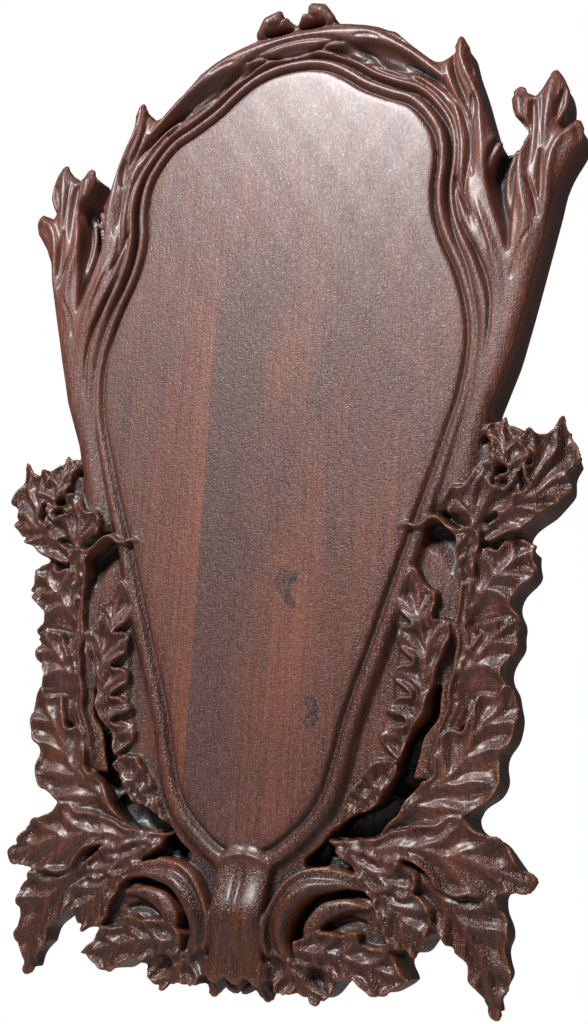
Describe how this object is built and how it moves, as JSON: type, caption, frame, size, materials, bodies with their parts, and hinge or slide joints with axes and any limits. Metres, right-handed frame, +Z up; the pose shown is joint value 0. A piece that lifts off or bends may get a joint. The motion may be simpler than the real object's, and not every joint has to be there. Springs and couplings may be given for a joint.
{
  "type": "antler mounting plaque",
  "caption": "Carved wooden wall plaque with a smooth pear-shaped panel for antlers, framed by branches and sawn stubs above and oak leaves, scrolls and a fluted strap below.",
  "frame": {"origin": "middle of the flat back, where the plaque lies against the wall", "axes": "+X to the viewer's right, +Y into the wall, +Z up; the carved front faces -Y"},
  "size_m": [0.3772, 0.0321, 0.6025],
  "materials": {
    "stained_wood": "dark reddish-brown stain, semi-gloss, with the fine tool marks left showing"
  },
  "bodies": {
    "root": {"carved_plaque": "stained_wood"}
  },
  "joints": []
}
